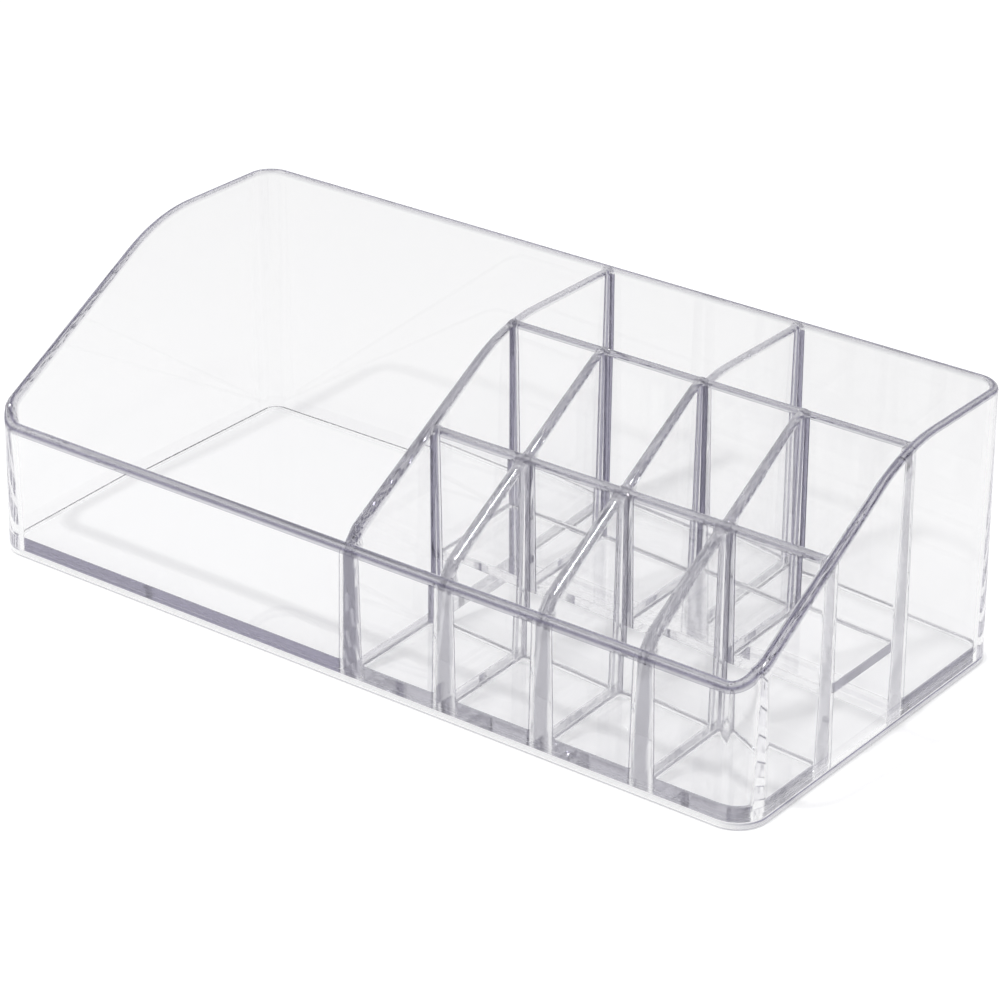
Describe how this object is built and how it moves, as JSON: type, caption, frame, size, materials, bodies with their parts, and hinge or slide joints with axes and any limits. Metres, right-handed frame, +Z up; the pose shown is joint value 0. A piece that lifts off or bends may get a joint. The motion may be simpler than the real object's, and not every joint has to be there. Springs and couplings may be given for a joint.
{
  "type": "vanity organizer",
  "caption": "Clear desktop vanity organizer: an open tray beside stepped rows of upright cells, with rounded corners and sloping side walls.",
  "frame": {"origin": "centre of the base, on the surface it stands on", "axes": "+X along the length towards the cells, +Y from the low front to the high back, +Z up"},
  "size_m": [0.24, 0.113, 0.0754],
  "materials": {
    "clear_plastic": "polished, transparent"
  },
  "bodies": {
    "root": {"front_wall": "clear_plastic", "back_wall": "clear_plastic", "left_wall": "clear_plastic", "right_wall": "clear_plastic", "main_partition": "clear_plastic", "front_row_divider": "clear_plastic", "rear_row_divider": "clear_plastic", "front_cell_divider_1": "clear_plastic", "front_cell_divider_2": "clear_plastic", "front_cell_divider_3": "clear_plastic", "middle_cell_divider_1": "clear_plastic", "middle_cell_divider_2": "clear_plastic", "middle_cell_divider_3": "clear_plastic", "rear_bay_divider": "clear_plastic", "tray_floor": "clear_plastic", "front_row_floor": "clear_plastic", "rear_bay_floor": "clear_plastic", "raised_floor": "clear_plastic"}
  },
  "joints": []
}
